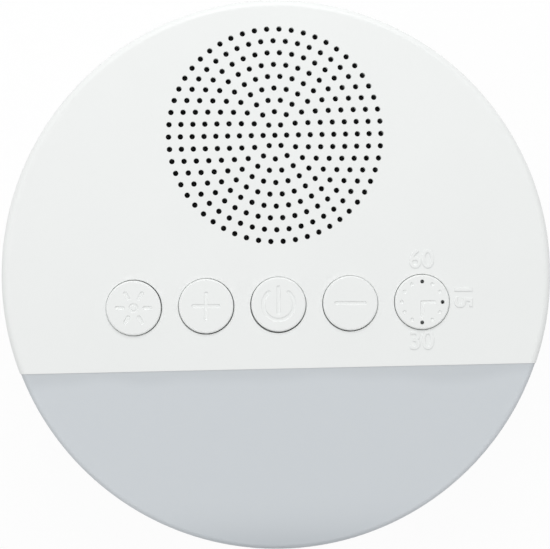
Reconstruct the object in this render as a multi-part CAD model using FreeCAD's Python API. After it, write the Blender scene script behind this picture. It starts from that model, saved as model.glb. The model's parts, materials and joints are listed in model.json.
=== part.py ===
import FreeCAD, Part
import math
import os
from FreeCAD import Rotation, Vector

# A round bedside sound machine that lies on its back: a white front cover with a drilled speaker
# grille and five push buttons, a frosted night-light window across the lower part of the face, and a
# tapered rear housing on four rubber feet. Millimetres. +Z is up out of the face, +Y is the top of
# the face, and the origin is on the table under the middle of the case.

# Case
case_radius = 55.0
case_wall = 2.0
face_height = 44.0          # table to the front cover's face
seam_height = 28.0          # table to the joint between the two shells
face_edge_radius = 1.4
seam_chamfer = 0.4
base_draw = 2.5             # how much narrower the case is at its base
base_edge_radius = 3.0
base_thickness = 2.4
housing_wall = 2.2
lip_height = 2.0            # tongue that rises inside the front shells
lip_thickness = 1.0
part_gap = 0.15             # moulding clearance between fixed neighbours

# Night-light window
window_chord = 18.9         # middle of the case to the straight edge of the window
window_step = 0.2           # the window lies this much inside the cover's surface
window_tongue = 2.5         # width of the tongue under the cover's straight edge
window_tongue_thickness = 1.2

# Speaker grille
grille_rings = 9
grille_pitch = 2.36
grille_hole_radius = 0.54
grille_hole_sides = 6       # few sides, because there are hundreds of holes
speaker_y = 27.9

# Buttons
button_names = ["light", "volume_up", "power", "volume_down", "timer"]
button_pitch = 14.4
button_y = -6.0
button_radius = 5.45
button_gap = 0.15
button_proud = 0.6
button_top_thickness = 1.4
button_wall = 0.75
button_edge = 0.35
button_travel = 0.5
button_flange = 0.75        # how far the retaining flange reaches past the cap
button_flange_thickness = 0.9
button_play = 0.1
button_stem_radius = 1.8
timer_hole_radius = 0.4
timer_hole_ring = 4.1
lamp_height = 0.6

# Switches under the buttons
board_drop = 10.0           # face to the top of the main board
board_thickness = 1.6
board_end_room = 1.5        # main board's end to the screw boss beside it
board_front = 10.2          # button row to the board's window edge
board_back = 9.4            # button row to the board's speaker edge
chip_sizes = [(10.0, 7.5, 1.8), (5.0, 4.0, 1.5), (4.0, 5.0, 1.5)]
chip_xs = [-18.0, 4.0, 20.0]
capacitor_radius = 2.5
capacitor_xs = [-6.0, 12.0]
capacitor_room = 3.1        # end of a capacitor to the cell under it
switch_size = 6.0
switch_height = 3.5
switch_well = 2.0
plunger_width = 3.0
plunger_length = 1.8
plunger_clearance = 0.05
plunger_proud = 0.9
post_radius = 2.0
post_inset = 2.9            # main board's end to the middle of its screw

# Speaker
cloth_thickness = 0.2
cloth_inset = 0.2
gasket_thickness = 1.6
gasket_width = 1.5
speaker_radius = 22.5
speaker_flange_thickness = 1.0
speaker_seat_inset = 3.1    # speaker's rim to the open mouth of its basket
basket_depth = 9.5
basket_foot_radius = 13.0
basket_sheet = 0.8
basket_windows = 4
basket_window_width = 9.0
basket_bore = 8.2
cone_edge_inset = 4.0
cone_sheet = 0.5
cone_travel = 0.8
coil_inner = 6.3
coil_outer = 6.9
coil_length = 8.0
coil_rise = 2.0             # coil's top over the basket's foot
pole_radius = 6.0
gap_bore = 7.2
top_plate_radius = 11.5
top_plate_thickness = 2.0
magnet_radius = 12.5
magnet_bore = 8.5
magnet_thickness = 5.5
yoke_thickness = 2.0
dust_cap_rise = 1.8
surround_roll = 0.6
surround_sheet = 0.3
surround_land = 1.3
rim_wall = 1.0              # locating ring round the speaker
speaker_screw_angles = [20.0, 160.0, 270.0]
speaker_boss_radius = 1.7
terminal_size = (9.0, 6.0, 3.0)

# Screws
side_screw_inset = 10.0     # case's side to the screws beside the buttons
side_screw_y = -8.0
corner_screw_insets = (18.5, 25.5)
case_screw_radius = 1.25
case_screw_head_radius = 2.4
case_screw_head_height = 1.8
case_screw_grip = 6.0       # solid end of the housing's screw column
case_screw_bite = 8.0
case_boss_radius = 3.0
case_column_radius = 4.0
case_recess_radius = 2.7
screw_clearance = 0.15
pilot_clearance = 0.05
small_screw_radius = 0.9
small_screw_head_radius = 2.2
small_screw_head_height = 1.3
small_screw_bite = 2.2
board_screw_bite = 5.0

# Night-light parts
light_board_half_length = 31.0
light_board_width = 11.0
light_board_thickness = 1.0
light_board_y = -34.5
light_board_drop = 12.0     # face to the light board's underside
light_pin_x = 27.0
light_pin_radius = 1.2
light_post_radius = 2.5
lamp_count = 6
lamp_pitch = 8.0
lamp_size = (3.5, 2.8, 0.9)
lamp_room = 0.5
reflector_sheet = 1.0
reflector_margin = 2.5
reflector_wall_height = 7.4

# Battery
cell_radius = 9.2
cell_length = 65.0
cell_y = -13.5
cell_cap_radius = 2.8
cell_cap_height = 1.0
holder_wall = 1.5
holder_room = 0.3
holder_side_height = 12.0
contact_thickness = 0.5
contact_width = 8.0

# Charging socket
socket_width = 8.94
socket_height = 3.26
socket_length = 7.35
socket_sheet = 0.3
socket_setback = 1.3        # mouth of the socket to the housing's surface
socket_tongue = (6.7, 4.8, 0.7)
socket_z = 10.0
socket_clearance = 0.2
socket_pocket = (13.0, 7.5, 0.8)
charge_board = (18.0, 18.0, 1.2)
charge_pin_radius = 1.0
charge_pin_inset = 2.0

# Feet
foot_radius = 5.5
foot_proud = 1.5
foot_recess = 0.8
foot_edge = 0.5
foot_inset = 10.5           # base's side to the middle of a foot
foot_angles = [55.0, 125.0, 235.0, 305.0]

# Leads
lead_width = 2.4
lead_thickness = 1.2
lead_bend = 2.4
lead_drop = 5.0             # how far a lead hangs under the board that it leaves

# Places that follow from the sizes above
base_radius = case_radius - base_draw
side_screw_x = case_radius - side_screw_inset
corner_screw_x = case_radius - corner_screw_insets[0]
corner_screw_y = case_radius - corner_screw_insets[1]
case_screw_places = [
    (side_screw_x, side_screw_y), (-side_screw_x, side_screw_y),
    (corner_screw_x, corner_screw_y), (-corner_screw_x, corner_screw_y),
]
board_half_length = side_screw_x - case_boss_radius - board_end_room
post_x = board_half_length - post_inset
foot_ring = base_radius - foot_inset
cloth_radius = speaker_radius - cloth_inset
speaker_seat_radius = speaker_radius - speaker_seat_inset
cone_edge_radius = speaker_radius - cone_edge_inset
face_z = face_height
plate_under = face_z - case_wall
skirt_inner = case_radius - case_wall
window_y = -window_chord
window_top = face_z - window_step
window_radius = case_radius - window_step
window_under = window_top - case_wall
lip_outer = window_radius - case_wall - part_gap
lip_inner = lip_outer - lip_thickness
base_z = foot_proud
floor_z = base_z + base_thickness
board_top = face_z - board_drop
board_under = board_top - board_thickness
switch_top = board_top + switch_height
plunger_top = switch_top + plunger_proud
button_top = face_z + button_proud
button_ceiling = button_top - button_top_thickness
flange_top = plate_under - button_play
flange_bottom = flange_top - button_flange_thickness
button_inner = button_radius - button_wall
button_xs = [(i - (len(button_names) - 1) / 2) * button_pitch for i in range(len(button_names))]
speaker_top = plate_under - cloth_thickness - gasket_thickness
speaker_flange_under = speaker_top - speaker_flange_thickness
basket_bottom = speaker_top - basket_depth
top_plate_bottom = basket_bottom - top_plate_thickness
magnet_bottom = top_plate_bottom - magnet_thickness
coil_top = basket_bottom + coil_rise
coil_bottom = coil_top - coil_length
rim_inner = speaker_radius + part_gap
speaker_screw_ring = rim_inner + speaker_boss_radius
case_head_z = seam_height - case_screw_grip
light_board_height = face_z - light_board_drop
light_board_top = light_board_height + light_board_thickness
reflector_top = light_board_top + reflector_sheet
holder_bottom = floor_z
cell_z = holder_bottom + holder_wall + cell_radius
socket_bottom = socket_z - socket_height / 2
charge_board_bottom = socket_bottom - charge_board[2]


def cylinder(radius, bottom, top, x=0.0, y=0.0):
    return Part.makeCylinder(radius, top - bottom, Vector(x, y, bottom))


def ring(outer, inner, bottom, top, x=0.0, y=0.0):
    return cylinder(outer, bottom, top, x, y).cut(cylinder(inner, bottom, top, x, y))


def block(x_low, x_high, y_low, y_high, z_low, z_high):
    return Part.makeBox(x_high - x_low, y_high - y_low, z_high - z_low, Vector(x_low, y_low, z_low))


def turned(points, x=0.0, y=0.0):
    """Turns a closed outline of (radius, height) points about an upright axis at x, y."""
    corners = [Vector(r, 0, z) for r, z in points]
    outline = Part.makePolygon(corners + corners[:1])
    solid = Part.Face(outline).revolve(Vector(0, 0, 0), Vector(0, 0, 1), 360)
    solid.translate(Vector(x, y, 0))
    return solid


def fused(first, *others):
    return first.multiFuse(list(others)).removeSplitter() if others else first


def drilled(solid, *tools):
    return solid.cut(Part.makeCompound(list(tools)))


def mirrored_xs(distance):
    return [-distance, distance]


def outer_radius(z):
    """Radius of the rear housing's tapered outside at a height."""
    share = (z - base_z) / (seam_height - base_z)
    return base_radius + (case_radius - base_radius) * share


def rounded_slot(width, height, y_low, y_high, z_middle):
    """A bar along Y with half-round ends, centred on X."""
    end = height / 2
    middle = block(-width / 2 + end, width / 2 - end, y_low, y_high, z_middle - end, z_middle + end)
    ends = []
    for x in mirrored_xs(width / 2 - end):
        ends.append(Part.makeCylinder(end, y_high - y_low, Vector(x, y_low, z_middle), Vector(0, 1, 0)))
    return fused(middle, *ends)


def screw(radius, head_radius, head_height, seat_z, bite, x, y):
    """A pan-head screw driven upwards, its head under seat_z."""
    head = cylinder(head_radius, seat_z - head_height, seat_z, x, y)
    return fused(head, cylinder(radius, seat_z, seat_z + bite, x, y))


def eased_corner(radius, height, size, up):
    """Two flats that ease a turned body's outer corner, from its side to its end face."""
    near = size * (1 - math.cos(math.pi / 4))
    return [(radius, height - up * size), (radius - near, height - up * near), (radius - size, height)]


def shell_blank(radius, top):
    """A round cap, open below, with an eased outer edge."""
    cap = turned([(0, seam_height), (radius, seam_height)] + eased_corner(radius, top, face_edge_radius, 1)
                 + [(0, top)])
    return cap.cut(cylinder(radius - case_wall, seam_height, top - case_wall))


def grille_holes():
    """Holes on rings round the speaker's axis, six more on each ring than on the one inside it."""
    low = plate_under - part_gap
    places = [(0.0, 0.0)]
    for ring_number in range(1, grille_rings + 1):
        count = 6 * ring_number
        for i in range(count):
            places.append((ring_number * grille_pitch, math.tau * i / count))
    outline = [
        Vector(grille_hole_radius, 0, 0)
    ]
    for i in range(1, grille_hole_sides):
        turn = math.tau * i / grille_hole_sides
        outline.append(Vector(grille_hole_radius * math.cos(turn), grille_hole_radius * math.sin(turn), 0))
    drill = Part.Face(Part.makePolygon(outline + outline[:1])).extrude(Vector(0, 0, face_z - low + part_gap))
    holes = []
    for reach, turn in places:
        hole = drill.copy()
        hole.translate(Vector(reach * math.cos(turn), speaker_y + reach * math.sin(turn), low))
        holes.append(hole)
    return holes


def speaker_screw_places():
    places = []
    for angle in speaker_screw_angles:
        turn = math.radians(angle)
        x = speaker_screw_ring * math.cos(turn)
        places.append((x, speaker_y + speaker_screw_ring * math.sin(turn)))
    return places


def front_cover():
    blank = shell_blank(case_radius, face_z)
    side = block(-case_radius, case_radius, window_y, case_radius, seam_height, face_z)
    cover = blank.common(side)
    bosses = [cylinder(case_boss_radius, seam_height, plate_under, x, y) for x, y in case_screw_places]
    posts = [cylinder(post_radius, board_top, plate_under, x, button_y) for x in mirrored_xs(post_x)]
    rim = ring(rim_inner + rim_wall, rim_inner, speaker_flange_under, plate_under, 0, speaker_y)
    speaker_bosses = [
        cylinder(speaker_boss_radius, speaker_flange_under, plate_under, x, y)
        for x, y in speaker_screw_places()
    ]
    cover = fused(cover, rim, *bosses, *posts, *speaker_bosses)
    cuts = [cylinder(button_radius + button_gap, plate_under, face_z, x, button_y) for x in button_xs]
    for x, y in case_screw_places:
        pilot_end = seam_height + case_screw_bite + case_screw_head_height
        cuts.append(cylinder(case_screw_radius + pilot_clearance, seam_height, pilot_end, x, y))
    for x in mirrored_xs(post_x):
        pilot_end = board_top + board_screw_bite
        cuts.append(cylinder(small_screw_radius + pilot_clearance, board_top, pilot_end, x, button_y))
    for x, y in speaker_screw_places():
        pilot_end = speaker_flange_under + small_screw_bite + pilot_clearance
        cuts.append(cylinder(small_screw_radius + pilot_clearance, speaker_flange_under, pilot_end, x, y))
    return drilled(cover, *cuts, *grille_holes())


def light_window():
    blank = shell_blank(window_radius, window_top)
    side = block(-case_radius, case_radius, -case_radius, window_y - part_gap, seam_height, window_top)
    window = blank.common(side)
    tongue_top = plate_under - part_gap
    tongue = cylinder(skirt_inner - part_gap, tongue_top - window_tongue_thickness, tongue_top)
    reach = block(
        -case_radius, case_radius, window_y - window_tongue, window_y + window_tongue,
        tongue_top - window_tongue_thickness, tongue_top,
    )
    return fused(window, tongue.common(reach))


def foot_places():
    return [
        (foot_ring * math.cos(math.radians(a)), foot_ring * math.sin(math.radians(a))) for a in foot_angles
    ]


def charge_pin_places():
    y_low = charge_board_y()[0] + charge_pin_inset
    return [(x, y_low) for x in mirrored_xs(charge_board[0] / 2 - charge_pin_inset)]


def charge_board_y():
    mouth = outer_radius(socket_z) - socket_setback
    back = mouth - socket_length
    return back - charge_board[1] + socket_length / 2, back + socket_length / 2


def rear_housing():
    base_edge = eased_corner(base_radius, base_z, base_edge_radius, -1)
    outside = turned([(0, base_z)] + base_edge[::-1] + [
        (case_radius, seam_height - seam_chamfer), (case_radius - seam_chamfer, seam_height),
        (0, seam_height),
    ])
    lip = ring(lip_outer, lip_outer - lip_thickness, seam_height - lip_height, seam_height + lip_height)
    inner_radius = base_radius - housing_wall
    housing = fused(outside, lip).cut(cylinder(inner_radius, floor_z, seam_height + lip_height))
    columns = [cylinder(case_column_radius, base_z, seam_height, x, y) for x, y in case_screw_places]
    posts = []
    for x in mirrored_xs(light_pin_x):
        posts.append(cylinder(light_post_radius, floor_z, light_board_height, x, light_board_y))
        pin_top = reflector_top + reflector_sheet / 2
        posts.append(cylinder(light_pin_radius, floor_z, pin_top, x, light_board_y))
    for x, y in charge_pin_places():
        posts.append(cylinder(charge_pin_radius * 2, floor_z, charge_board_bottom, x, y))
        posts.append(cylinder(charge_pin_radius, floor_z, socket_bottom + charge_board[2] / 2, x, y))
    housing = fused(housing, *columns, *posts)
    cuts = []
    for x, y in case_screw_places:
        cuts.append(cylinder(case_recess_radius, base_z, case_head_z, x, y))
        cuts.append(cylinder(case_screw_radius + screw_clearance, case_head_z, seam_height, x, y))
    for x, y in foot_places():
        cuts.append(cylinder(foot_radius + part_gap, base_z, base_z + foot_recess, x, y))
    wall_y = outer_radius(socket_z)
    slot_width = socket_width + 2 * socket_clearance
    slot_height = socket_height + 2 * socket_clearance
    cuts.append(rounded_slot(slot_width, slot_height, wall_y - 2 * housing_wall, case_radius, socket_z))
    pocket_width, pocket_height, pocket_depth = socket_pocket
    cuts.append(rounded_slot(pocket_width, pocket_height, wall_y - pocket_depth, case_radius, socket_z))
    return drilled(housing, *cuts)


def button(index):
    """A hollow push cap with a retaining flange and a stem down to its switch."""
    outer_flange = button_radius + button_flange
    cap = turned([
        (0, plunger_top), (button_stem_radius, plunger_top), (button_stem_radius, button_ceiling),
        (button_inner, button_ceiling), (button_inner, flange_bottom), (outer_flange, flange_bottom),
        (outer_flange, flange_top), (button_radius, flange_top), (button_radius, button_top - button_edge),
        (button_radius - button_edge, button_top), (0, button_top),
    ], button_xs[index], button_y)
    if button_names[index] != "timer":
        return cap
    holes = [
        cylinder(timer_hole_radius, button_ceiling, button_top, x, y) for x, y in timer_hole_places()
    ]
    return drilled(cap, *holes)


def timer_hole_places():
    """The quarter, half and full hour places on the timer's dial."""
    x = button_xs[button_names.index("timer")]
    return [(x, button_y + timer_hole_ring), (x + timer_hole_ring, button_y), (x, button_y - timer_hole_ring)]


def switch_plunger(index):
    half = plunger_width / 2
    x = button_xs[index]
    bottom = plunger_top - plunger_length
    return block(x - half, x + half, button_y - half, button_y + half, bottom, plunger_top)


def button_switches():
    half = switch_size / 2
    well = plunger_width / 2 + plunger_clearance
    cases = []
    for x in button_xs:
        case = block(x - half, x + half, button_y - half, button_y + half, board_top, switch_top)
        cases.append(case.cut(block(
            x - well, x + well, button_y - well, button_y + well, switch_top - switch_well, switch_top,
        )))
    return Part.makeCompound(cases)


def main_board():
    board = block(
        -board_half_length, board_half_length, button_y - board_front, button_y + board_back,
        board_under, board_top,
    )
    holes = [
        cylinder(small_screw_radius + screw_clearance, board_under, board_top, x, button_y)
        for x in mirrored_xs(post_x)
    ]
    return drilled(board, *holes)


def board_chips():
    """Sound chip, amplifier and charger on the underside of the main board."""
    chips = []
    for x, (width, depth, height) in zip(chip_xs, chip_sizes):
        chips.append(block(
            x - width / 2, x + width / 2, button_y - depth / 2, button_y + depth / 2,
            board_under - height, board_under,
        ))
    return Part.makeCompound(chips)


def board_capacitors():
    """Two upright cans on the underside of the main board, over the cell."""
    bottom = cell_z + cell_radius + capacitor_room
    y = button_y - board_front / 2
    return Part.makeCompound([cylinder(capacitor_radius, bottom, board_under, x, y) for x in capacitor_xs])


def timer_lamps():
    width = 2 * timer_hole_radius
    lamps = []
    for x, y in timer_hole_places():
        lamps.append(block(
            x - width / 2, x + width / 2, y - width / 2, y + width / 2, board_top, board_top + lamp_height,
        ))
    return Part.makeCompound(lamps)


def timer_light_guide():
    """Three clear square rods that stand on the timer's lamps, joined by a web over the switch."""
    half = timer_hole_radius
    top = button_ceiling - button_travel - part_gap
    web_bottom = switch_top + part_gap
    web_top = web_bottom + 2 * half
    x_middle = button_xs[button_names.index("timer")]
    rods = [
        block(x - half, x + half, y - half, y + half, board_top + lamp_height, top)
        for x, y in timer_hole_places()
    ]
    reach = timer_hole_ring + half
    back = x_middle + button_stem_radius + button_gap
    spine = block(back, back + 2 * half, button_y - reach, button_y + reach, web_bottom, web_top)
    arms = [
        block(x_middle - half, back, button_y + side * timer_hole_ring - half,
              button_y + side * timer_hole_ring + half, web_bottom, web_top)
        for side in (-1, 1)
    ]
    bridge = block(back, x_middle + reach, button_y - half, button_y + half, web_bottom, web_top)
    return fused(spine, bridge, *arms, *rods)


def board_screws():
    return Part.makeCompound([
        screw(small_screw_radius, small_screw_head_radius, small_screw_head_height, board_under,
              board_thickness + board_screw_bite - part_gap, x, button_y)
        for x in mirrored_xs(post_x)
    ])


def case_screws():
    return Part.makeCompound([
        screw(case_screw_radius, case_screw_head_radius, case_screw_head_height, case_head_z,
              case_screw_grip + case_screw_bite, x, y)
        for x, y in case_screw_places
    ])


def speaker_screws():
    return Part.makeCompound([
        screw(small_screw_radius, small_screw_head_radius, small_screw_head_height, speaker_flange_under,
              small_screw_bite, x, y)
        for x, y in speaker_screw_places()
    ])


def grille_cloth():
    return cylinder(cloth_radius, plate_under - cloth_thickness, plate_under, 0, speaker_y)


def speaker_gasket():
    bottom = speaker_top
    return ring(speaker_radius, speaker_radius - gasket_width, bottom, bottom + gasket_thickness, 0, speaker_y)


def speaker_basket():
    """Pressed frame: a flat flange, a sloping wall with windows, and a foot for the magnet."""
    seat = speaker_seat_radius
    foot = basket_foot_radius
    basket = turned([
        (speaker_radius, speaker_top), (speaker_radius, speaker_flange_under),
        (seat + basket_sheet, speaker_flange_under), (foot, basket_bottom + basket_sheet),
        (foot, basket_bottom), (basket_bore, basket_bottom), (basket_bore, basket_bottom + basket_sheet),
        (foot - basket_sheet, basket_bottom + basket_sheet), (seat, speaker_flange_under),
        (seat, speaker_top),
    ], 0, speaker_y)
    half = basket_window_width / 2
    windows = []
    for i in range(basket_windows):
        window = block(
            foot - basket_sheet / 2, speaker_radius, -half, half,
            basket_bottom + 2 * basket_sheet, speaker_flange_under - basket_sheet,
        )
        window.rotate(Vector(0, 0, 0), Vector(0, 0, 1), 360 * i / basket_windows + 180 / basket_windows)
        window.translate(Vector(0, speaker_y, 0))
        windows.append(window)
    return drilled(basket, *windows)


def speaker_top_plate():
    return ring(top_plate_radius, gap_bore, top_plate_bottom, basket_bottom, 0, speaker_y)


def speaker_magnet():
    return ring(magnet_radius, magnet_bore, magnet_bottom, top_plate_bottom, 0, speaker_y)


def speaker_yoke():
    plate = cylinder(top_plate_radius, magnet_bottom - yoke_thickness, magnet_bottom, 0, speaker_y)
    return fused(plate, cylinder(pole_radius, magnet_bottom - yoke_thickness, basket_bottom, 0, speaker_y))


def voice_coil():
    return ring(coil_outer, coil_inner, coil_bottom, coil_top, 0, speaker_y)


def speaker_cone():
    edge_inner = cone_edge_radius - surround_land / 2
    return turned([
        (coil_outer, coil_top - 2 * cone_sheet), (edge_inner, speaker_top - cone_sheet),
        (cone_edge_radius, speaker_top - cone_sheet), (cone_edge_radius, speaker_top),
        (edge_inner - cone_sheet / 2, speaker_top), (coil_outer, coil_top - cone_sheet / 2),
    ], 0, speaker_y)


def dust_cap():
    """A shallow two-slope cap that closes the coil."""
    sheet = coil_outer - coil_inner
    top = coil_top + dust_cap_rise
    crown = coil_inner / 2
    return turned([
        (coil_inner, coil_top), (coil_outer, coil_top), (crown, top), (0, top), (0, top - sheet),
        (crown - sheet / 2, top - sheet),
    ], 0, speaker_y)


def speaker_surround():
    """A raised rubber edge from the cone to the basket's flange."""
    low, high = speaker_top, speaker_top + surround_sheet
    inner = cone_edge_radius
    outer = inner + 2 * surround_roll
    middle = (inner + outer) / 2
    return turned([
        (inner - surround_land / 2, low), (inner + surround_sheet / 2, low), (middle, low + surround_roll),
        (outer - surround_sheet / 2, low), (outer + surround_land, low), (outer + surround_land, high),
        (outer, high), (middle, high + surround_roll), (inner, high), (inner - surround_land / 2, high),
    ], 0, speaker_y)


def lamp_xs():
    return [(i - (lamp_count - 1) / 2) * lamp_pitch for i in range(lamp_count)]


def light_board():
    half_width = light_board_width / 2
    board = block(
        -light_board_half_length, light_board_half_length, light_board_y - half_width,
        light_board_y + half_width, light_board_height, light_board_top,
    )
    holes = [
        cylinder(light_pin_radius + part_gap, light_board_height, light_board_top, x, light_board_y)
        for x in mirrored_xs(light_pin_x)
    ]
    return drilled(board, *holes)


def light_lamps():
    length, width, height = lamp_size
    return Part.makeCompound([
        block(x - length / 2, x + length / 2, light_board_y - width / 2, light_board_y + width / 2,
              light_board_top, light_board_top + height)
        for x in lamp_xs()
    ])


def light_reflector():
    """White tray under the window, with a wall that keeps the light off the main board."""
    reach = lip_outer - lip_thickness - part_gap
    edge_y = window_y - window_tongue - part_gap
    tray = cylinder(reach, light_board_top, reflector_top)
    tray = tray.common(block(-reach, reach, -reach, edge_y, light_board_top, reflector_top))
    wall = cylinder(reach, light_board_top, light_board_top + reflector_wall_height)
    wall = wall.common(block(
        -reach, reach, edge_y - reflector_sheet, edge_y, light_board_top,
        light_board_top + reflector_wall_height,
    ))
    length, width, height = lamp_size
    cuts = []
    for x in lamp_xs():
        half_length, half_width = length / 2 + lamp_room, width / 2 + lamp_room
        cuts.append(block(
            x - half_length, x + half_length, light_board_y - half_width, light_board_y + half_width,
            light_board_top, reflector_top,
        ))
    for x in mirrored_xs(light_pin_x):
        cuts.append(cylinder(light_pin_radius + part_gap, light_board_top, reflector_top, x, light_board_y))
    return drilled(fused(tray, wall), *cuts)


def battery_cell():
    half = cell_length / 2
    can = Part.makeCylinder(cell_radius, cell_length, Vector(-half, cell_y, cell_z), Vector(1, 0, 0))
    cap = Part.makeCylinder(
        cell_cap_radius, cell_cap_height, Vector(half, cell_y, cell_z), Vector(1, 0, 0)
    )
    return fused(can, cap)


def battery_holder():
    """Open tray that the cell clips into."""
    room_x = cell_length / 2 + cell_cap_height + 2 * contact_thickness
    room_y = cell_radius + holder_room
    tray = block(
        -room_x - holder_wall, room_x + holder_wall, cell_y - room_y - holder_wall,
        cell_y + room_y + holder_wall, holder_bottom, holder_bottom + holder_side_height,
    )
    room = block(
        -room_x, room_x, cell_y - room_y, cell_y + room_y,
        holder_bottom + holder_wall, holder_bottom + holder_side_height,
    )
    return tray.cut(room)


def battery_contacts():
    """Flat spring tabs at the two ends of the cell."""
    plus_face = cell_length / 2 + cell_cap_height
    minus_face = -cell_length / 2
    wall_face = cell_length / 2 + cell_cap_height + 2 * contact_thickness
    half = contact_width / 2
    bottom = holder_bottom + holder_wall
    top = cell_z + half
    plus = block(plus_face, wall_face, cell_y - half, cell_y + half, bottom, top)
    minus = block(-wall_face, minus_face, cell_y - half, cell_y + half, bottom, top)
    return Part.makeCompound([plus, minus])


def usb_socket():
    mouth = outer_radius(socket_z) - socket_setback
    back = mouth - socket_length
    shell = rounded_slot(socket_width, socket_height, back, mouth, socket_z)
    room = rounded_slot(
        socket_width - 2 * socket_sheet, socket_height - 2 * socket_sheet,
        back + 2 * socket_sheet, mouth, socket_z,
    )
    return shell.cut(room)


def usb_tongue():
    width, length, height = socket_tongue
    back = outer_radius(socket_z) - socket_setback - socket_length + 2 * socket_sheet
    return block(-width / 2, width / 2, back, back + length, socket_z - height / 2, socket_z + height / 2)


def charging_board():
    width, length, thickness = charge_board
    y_low, y_high = charge_board_y()
    board = block(-width / 2, width / 2, y_low, y_high, charge_board_bottom, socket_bottom)
    holes = [
        cylinder(charge_pin_radius + part_gap, charge_board_bottom, socket_bottom, x, y)
        for x, y in charge_pin_places()
    ]
    return drilled(board, *holes)


def rubber_feet():
    inner = foot_radius - foot_edge
    return Part.makeCompound([
        turned([
            (0, 0), (inner, 0), (foot_radius, foot_edge), (foot_radius, base_z + foot_recess),
            (0, base_z + foot_recess),
        ], x, y)
        for x, y in foot_places()
    ])


def lead(points, side):
    """A flat twin lead through a chain of points in one upright plane, its bends rounded."""
    edges = []
    start = points[0]
    for corner, after in zip(points[1:-1], points[2:]):
        into = (corner - start).normalize()
        out = (after - corner).normalize()
        turn = into.getAngle(out)
        back = lead_bend * math.tan(turn / 2)
        first, last = corner - into * back, corner + out * back
        middle = corner + (out - into).normalize() * lead_bend * (1 / math.cos(turn / 2) - 1)
        edges.append(Part.makeLine(start, first))
        edges.append(Part.Arc(first, middle, last).toShape())
        start = last
    edges.append(Part.makeLine(start, points[-1]))
    path = Part.Wire(edges)
    along = (points[1] - points[0]).normalize()
    across = side.normalize()
    thick = along.cross(across)
    corners = []
    for a, b in ((-1, -1), (1, -1), (1, 1), (-1, 1)):
        corners.append(points[0] + across * (a * lead_width / 2) + thick * (b * lead_thickness / 2))
    profile = Part.makePolygon(corners + corners[:1])
    return path.makePipeShell([profile], True, False)


def speaker_terminals():
    """Tag block that follows the basket's slope, on the side towards the buttons."""
    width, depth, height = terminal_size
    high = speaker_flange_under - small_screw_head_height - part_gap
    y_out = speaker_y - speaker_seat_radius
    blank = block(-width / 2, width / 2, y_out, y_out + depth, high - height, high)
    seat, foot = speaker_seat_radius + basket_sheet, basket_foot_radius
    filled = turned([
        (0, basket_bottom + basket_sheet), (foot, basket_bottom + basket_sheet),
        (seat, speaker_flange_under), (0, speaker_flange_under),
    ], 0, speaker_y)
    return blank.cut(filled)


def speaker_lead():
    """From the main board's underside up to the speaker's terminals."""
    width, depth, height = terminal_size
    terminal_z = speaker_flange_under - small_screw_head_height - part_gap - height
    y_board = button_y + board_back - 2 * lead_thickness
    y_speaker = speaker_y - speaker_seat_radius + lead_thickness / 2
    low = board_under - lead_drop
    return lead([
        Vector(0, y_board, board_under), Vector(0, y_board, low), Vector(0, y_speaker, low),
        Vector(0, y_speaker, terminal_z),
    ], Vector(1, 0, 0))


def battery_lead():
    """From the holder's end up to the main board's underside."""
    x_holder = cell_length / 2 + cell_cap_height + 2 * contact_thickness + holder_wall + lead_thickness / 2
    x_board = x_holder - 3 * lead_bend
    z_holder = holder_bottom + holder_side_height / 2
    low = board_under - lead_drop
    return lead([
        Vector(x_holder, button_y, z_holder), Vector(x_holder, button_y, low), Vector(x_board, button_y, low),
        Vector(x_board, button_y, board_under),
    ], Vector(0, 1, 0))


def light_lead():
    """From the light board's underside to the main board's underside."""
    x = button_xs[1]
    y_light = light_board_y + light_board_width / 4
    y_board = button_y - board_front + 2 * lead_thickness
    low = board_under - lead_drop
    return lead([
        Vector(x, y_light, light_board_height), Vector(x, y_light, low), Vector(x, y_board, low),
        Vector(x, y_board, board_under),
    ], Vector(1, 0, 0))


def charging_lead():
    """From the charging board over the floor of the housing and up to the main board."""
    x = 2 * lead_width
    y_charge = charge_board_y()[0] + lead_thickness
    y_board = button_y + board_back - 2 * lead_thickness
    high = socket_bottom + lead_drop
    return lead([
        Vector(x, y_charge, socket_bottom), Vector(x, y_charge, high), Vector(x, y_board, high),
        Vector(x, y_board, board_under),
    ], Vector(1, 0, 0))


parts = {
    "front_cover": front_cover,
    "light_window": light_window,
    "rear_housing": rear_housing,
    "button_switches": button_switches,
    "main_board": main_board,
    "board_chips": board_chips,
    "board_capacitors": board_capacitors,
    "timer_lamps": timer_lamps,
    "timer_light_guide": timer_light_guide,
    "board_screws": board_screws,
    "case_screws": case_screws,
    "speaker_screws": speaker_screws,
    "grille_cloth": grille_cloth,
    "speaker_gasket": speaker_gasket,
    "speaker_basket": speaker_basket,
    "speaker_top_plate": speaker_top_plate,
    "speaker_magnet": speaker_magnet,
    "speaker_yoke": speaker_yoke,
    "voice_coil": voice_coil,
    "speaker_cone": speaker_cone,
    "dust_cap": dust_cap,
    "speaker_surround": speaker_surround,
    "light_board": light_board,
    "light_lamps": light_lamps,
    "light_reflector": light_reflector,
    "battery_cell": battery_cell,
    "battery_holder": battery_holder,
    "battery_contacts": battery_contacts,
    "usb_socket": usb_socket,
    "usb_tongue": usb_tongue,
    "charging_board": charging_board,
    "rubber_feet": rubber_feet,
    "speaker_terminals": speaker_terminals,
    "speaker_lead": speaker_lead,
    "battery_lead": battery_lead,
    "light_lead": light_lead,
    "charging_lead": charging_lead,
}

os.makedirs("parts", exist_ok=True)
for name, make in parts.items():
    shape = make()
    print(name, len(shape.Solids), round(shape.Volume, 1), shape.isValid())
    shape.exportStep("parts/" + name + ".step")
for index, name in enumerate(button_names):
    button(index).exportStep("parts/" + name + "_button.step")
    switch_plunger(index).exportStep("parts/" + name + "_plunger.step")
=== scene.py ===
import json
import math
import bmesh
import bpy
from mathutils import Matrix, Vector


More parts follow.
